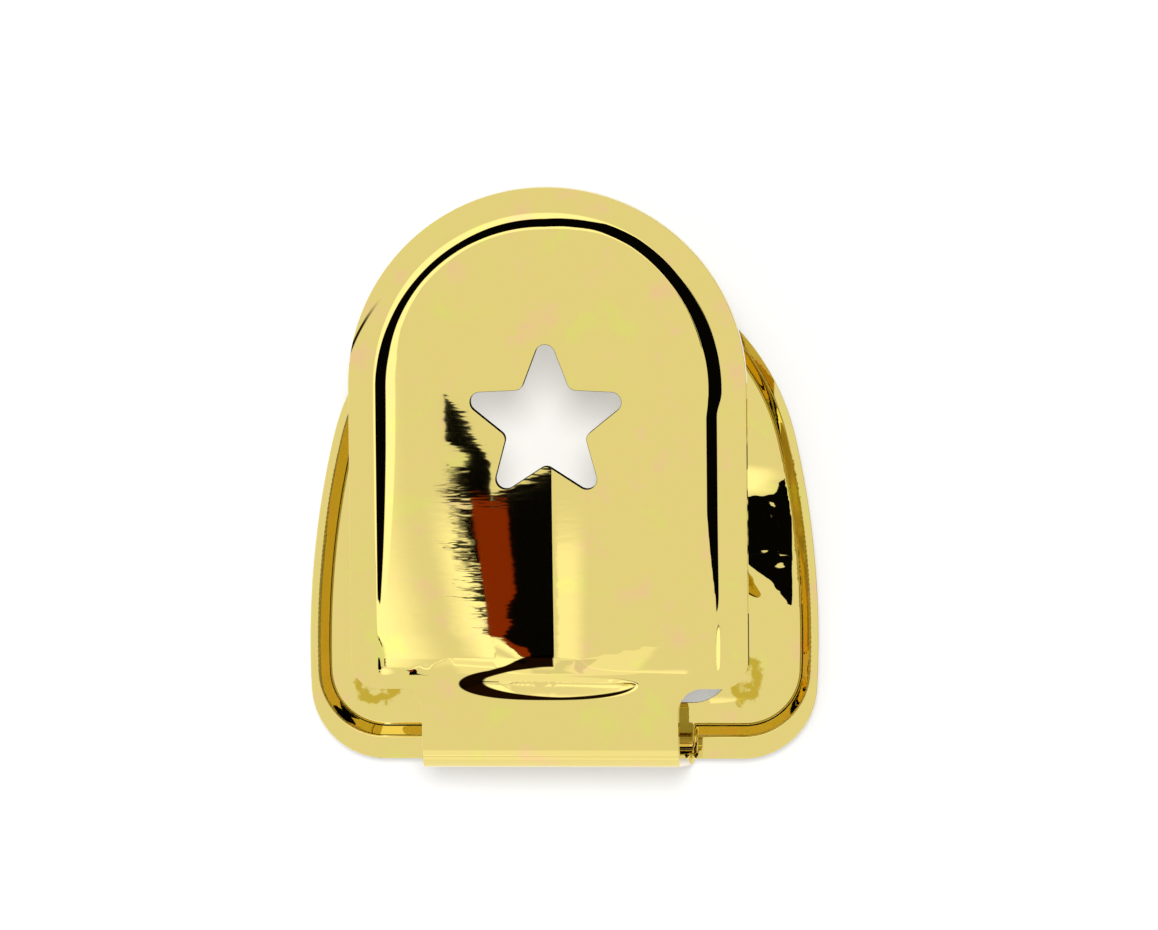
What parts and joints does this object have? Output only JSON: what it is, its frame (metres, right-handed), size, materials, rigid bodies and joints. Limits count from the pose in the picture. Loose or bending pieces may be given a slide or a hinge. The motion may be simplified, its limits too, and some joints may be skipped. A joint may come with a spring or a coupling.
{
  "type": "grillz tooth cover",
  "caption": "Clip-on gold-coloured cap for a front tooth: arched front plate with a star cut-out, folded under the biting edge to an open back frame.",
  "frame": {"origin": "under the middle of the cap, on the surface that its back frame lies on", "axes": "+X across the tooth, +Y from the fold at the biting edge to the gum, +Z from the back of the tooth to its front"},
  "size_m": [0.0102, 0.0116, 0.0052],
  "materials": {
    "gold": "polished gold plating with faint uneven tint and shallow ripples"
  },
  "bodies": {
    "root": {"tooth_cap": "gold"}
  },
  "joints": []
}
